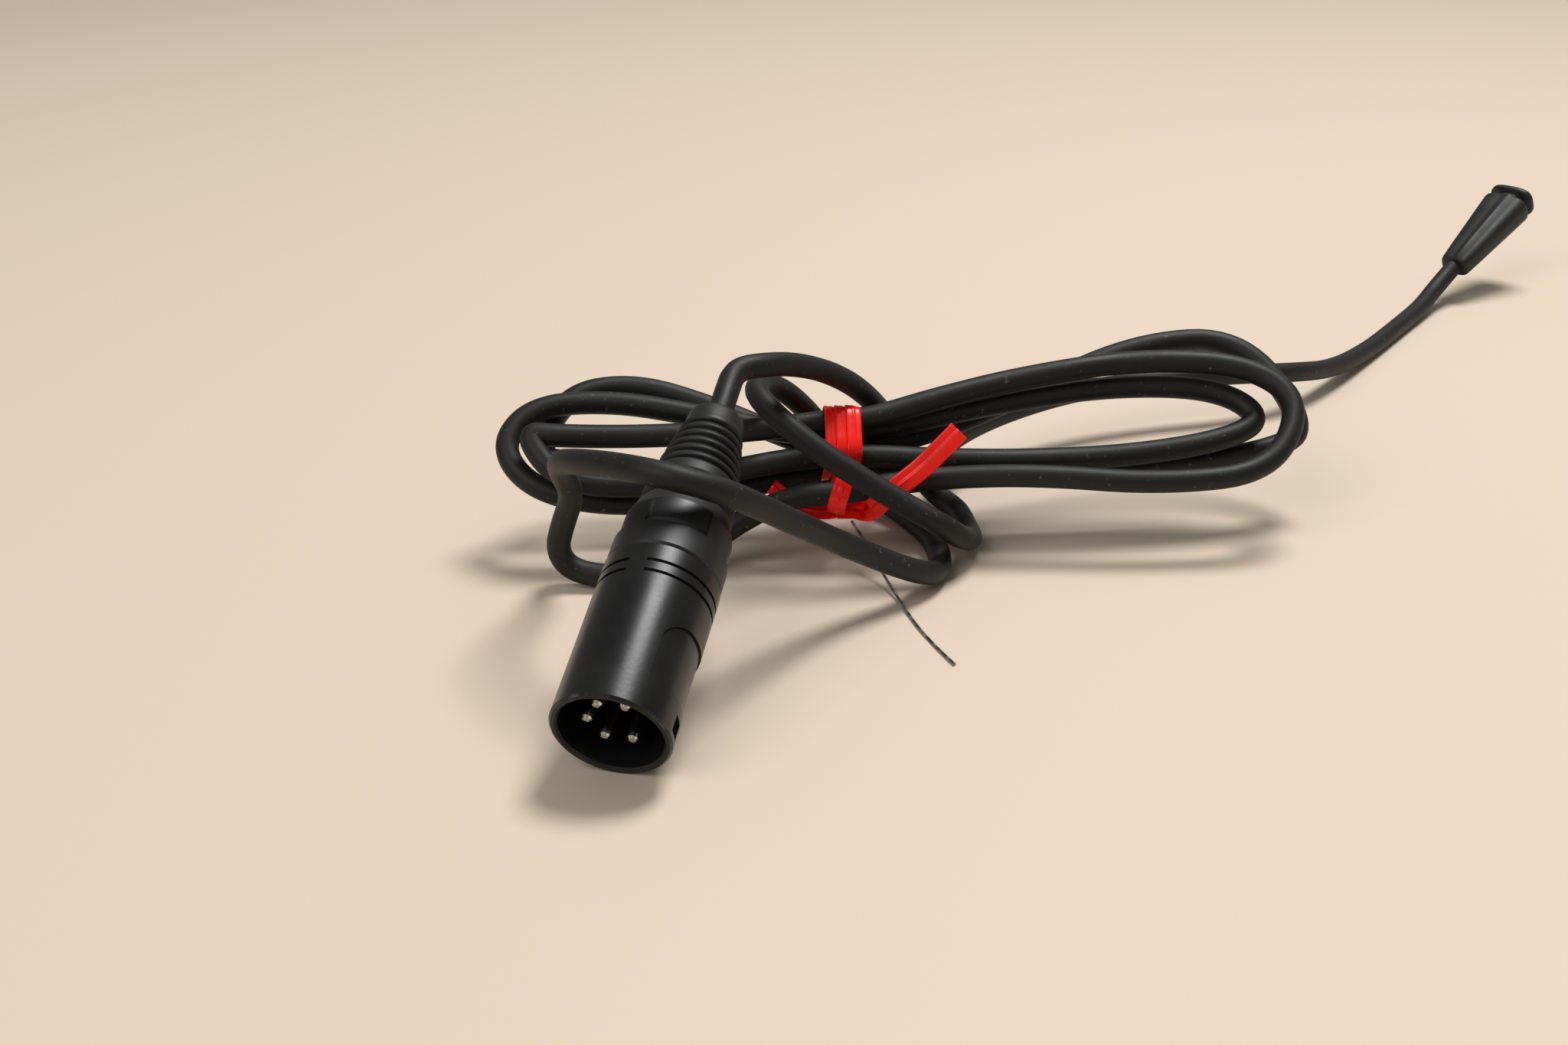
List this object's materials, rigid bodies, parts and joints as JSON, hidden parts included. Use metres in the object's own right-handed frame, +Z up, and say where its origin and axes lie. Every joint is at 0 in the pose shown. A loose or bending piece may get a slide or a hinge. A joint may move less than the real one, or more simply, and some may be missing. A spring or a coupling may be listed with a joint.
{
  "type": "headset lead",
  "caption": "Thin rubber cable folded into a hank under a wire twist tie, with a ribbed-boot circular plug with recessed pins at one end and a tapered strain relief at the other.",
  "frame": {"origin": "middle of the plug's base on the table, under the plug's length", "axes": "+Y from the plug's rim towards its cable, +Z up, +X to the side that the key and latch window face"},
  "size_m": [0.2034, 0.3166, 0.0431],
  "materials": {
    "shell_metal": "satin",
    "insert_plastic": "matte",
    "contact_metal": "bright",
    "chuck_plastic": "matte",
    "nut_plastic": "semi-gloss",
    "boot_rubber": "matte",
    "cable_jacket": "matte",
    "tie_plastic": "glossy",
    "tie_steel": "dull",
    "relief_rubber": "matte",
    "core_colour_1": "matte",
    "core_colour_2": "matte",
    "core_colour_3": "matte",
    "core_colour_4": "matte",
    "core_colour_5": "matte"
  },
  "bodies": {
    "lead": {"plug_shell": "shell_metal", "contact_insert": "insert_plastic", "earth_leaf": "contact_metal", "cable_in_plug": "cable_jacket", "cable_from_plug": "cable_jacket", "cable_hank": "cable_jacket", "cable_lead_out": "cable_jacket", "tie_wrap": "tie_plastic", "tie_knot": "tie_plastic", "tie_tail_right": "tie_plastic", "tie_tail_left": "tie_plastic", "tie_wire": "tie_steel", "far_strain_relief": "relief_rubber", "contact_pin_1": "contact_metal", "core_1": "core_colour_1", "contact_pin_2": "contact_metal", "core_2": "core_colour_2", "contact_pin_3": "contact_metal", "core_3": "core_colour_3", "contact_pin_4": "contact_metal", "core_4": "core_colour_4", "contact_pin_5": "contact_metal", "core_5": "core_colour_5"},
    "chuck": {"cable_chuck": "chuck_plastic"},
    "nut": {"rear_nut": "nut_plastic", "rubber_boot": "boot_rubber"}
  },
  "joints": [
    {"name": "chuck_travel", "type": "slide", "parent": "lead", "child": "chuck", "axis": [0, 0.9135, 0.4067], "range_m": [0, 0.005]},
    {"name": "nut_turn", "type": "hinge", "parent": "chuck", "child": "nut", "pos_m": [0, 0.00334, 0.02318], "axis": [0, 0.9135, 0.4067], "range_deg": [0, 1800]}
  ],
  "couplings": [
    {"joint": "chuck_travel", "follows": "nut_turn", "m_per_rad": 0.000159}
  ]
}
